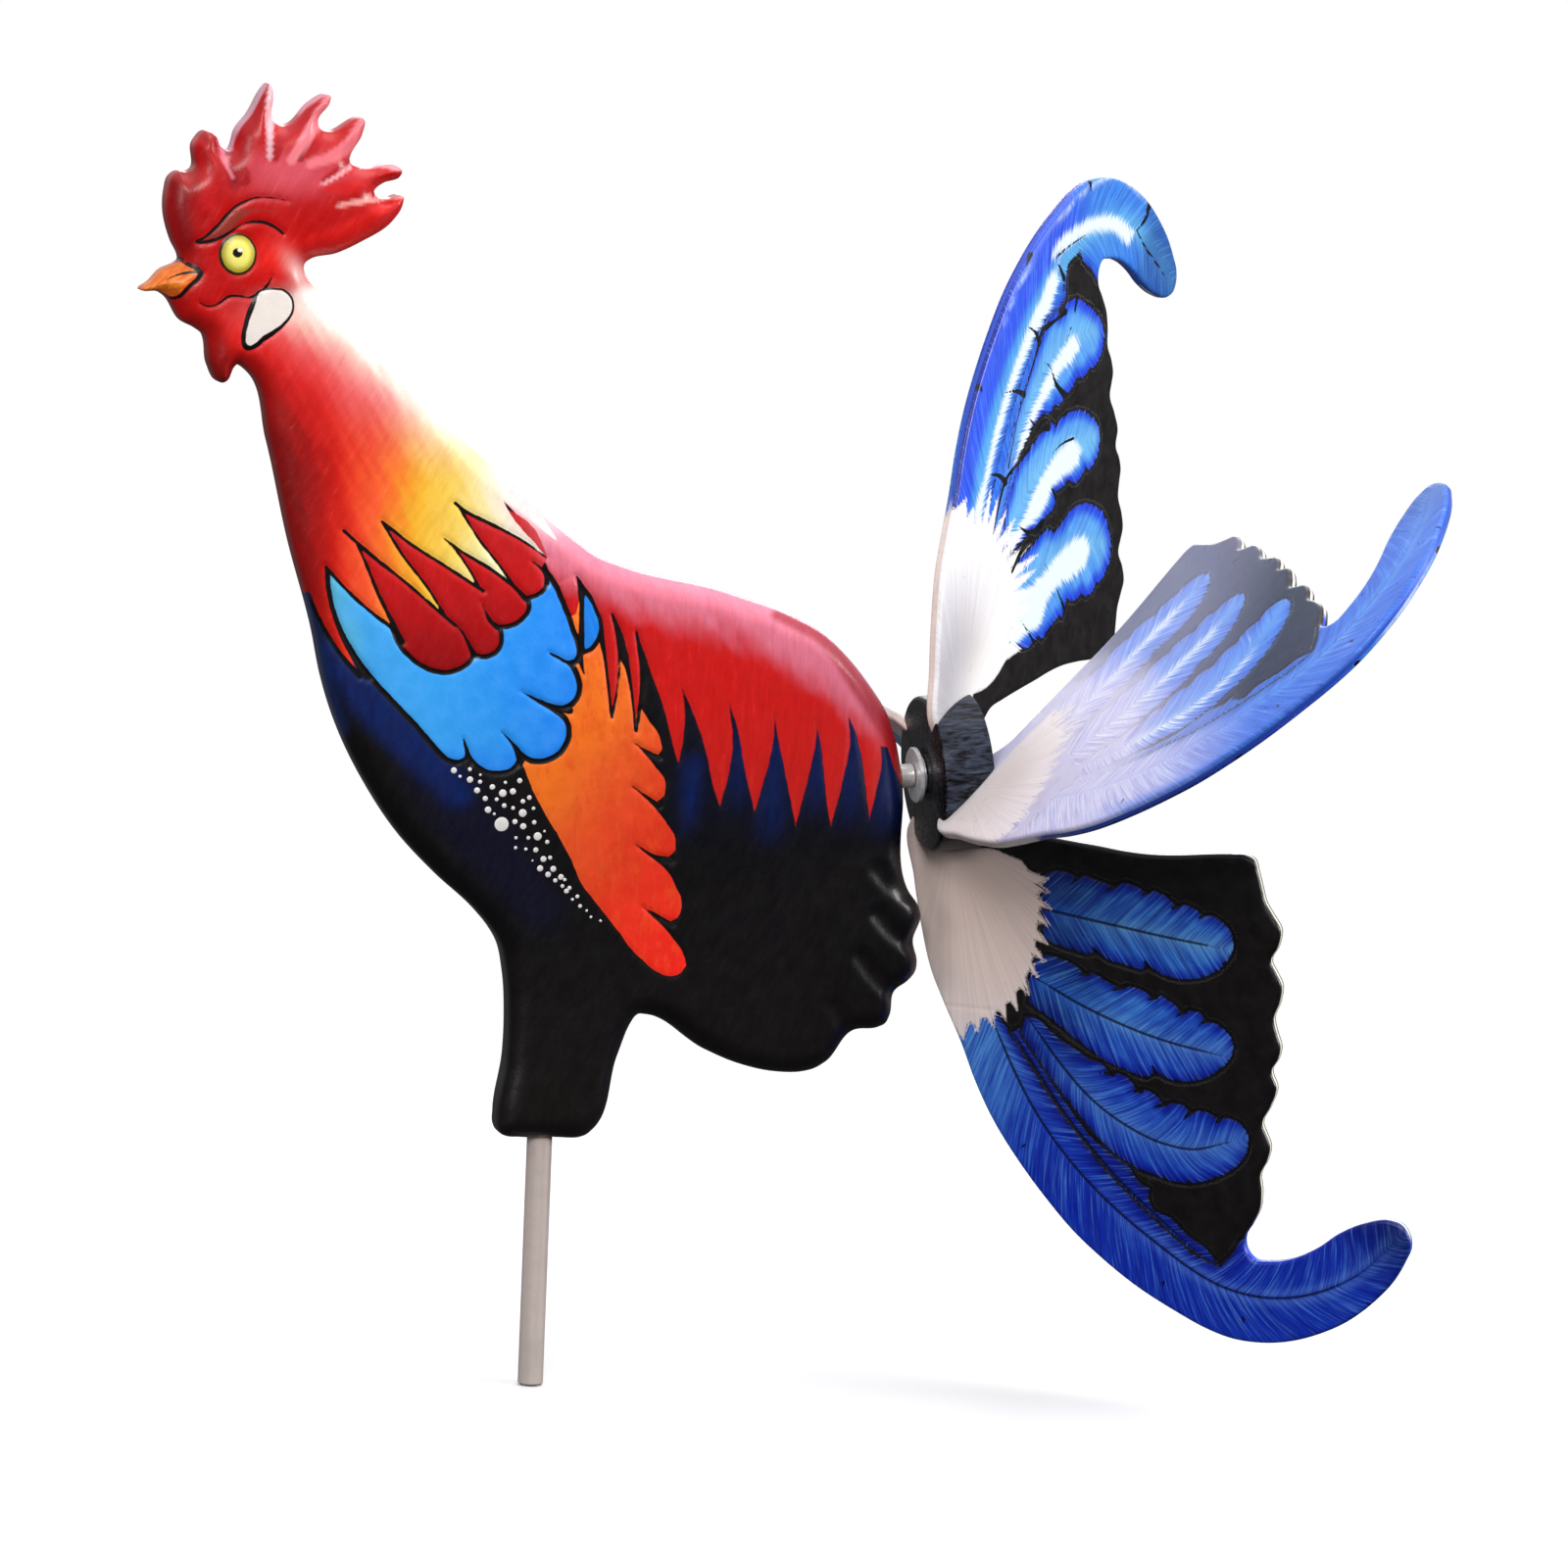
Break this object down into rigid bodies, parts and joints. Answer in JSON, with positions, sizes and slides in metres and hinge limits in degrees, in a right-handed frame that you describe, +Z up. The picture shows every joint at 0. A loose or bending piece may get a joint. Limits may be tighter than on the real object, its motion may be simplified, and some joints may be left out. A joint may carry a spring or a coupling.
{
  "type": "whirligig",
  "caption": "Painted board rooster that swivels on a steel rod, with a propeller of pitched tail blades that spins on an axle in its rear edge.",
  "frame": {"origin": "centre of the rod's flat lower end", "axes": "+Z up along the rod; the rooster board lies in the XZ plane and faces -X, with the tail propeller at +X; -Y is the rooster's left side"},
  "size_m": [0.4658, 0.4304, 0.4815],
  "materials": {
    "painted_board": "hand-painted red, blue, black, yellow and white, glossy",
    "painted_blade": "hand-painted blue and cream feathers on black, satin gloss",
    "black_paint": "glossy black paint over turned wood",
    "dark_steel": "dark weathered round bar",
    "steel": "plain",
    "zinc_plate": "bright zinc plate",
    "brass": "plain"
  },
  "bodies": {
    "pole": {"pole_rod": "dark_steel"},
    "rooster": {"rooster_body": "painted_board", "pivot_sleeve": "brass", "pivot_plug": "steel", "tail_axle_screw": "zinc_plate", "rooster_washer": "zinc_plate", "spacer_tube": "steel", "hub_front_washer": "zinc_plate", "hub_rear_washer": "zinc_plate"},
    "tail_spinner": {"tail_hub": "black_paint", "hub_bushing": "brass", "tail_blade_1": "painted_blade", "tail_blade_2": "painted_blade", "tail_blade_3": "painted_blade", "tail_blade_4": "painted_blade"}
  },
  "joints": [
    {"name": "body_swivel", "type": "hinge", "parent": "pole", "child": "rooster", "pos_m": [0, 0, 0.14], "axis": [0, 0, 1], "continuous": true},
    {"name": "tail_spin", "type": "hinge", "parent": "rooster", "child": "tail_spinner", "pos_m": [0.15937, 0, 0.23329], "axis": [0.9957, 0, 0.0929], "continuous": true}
  ]
}
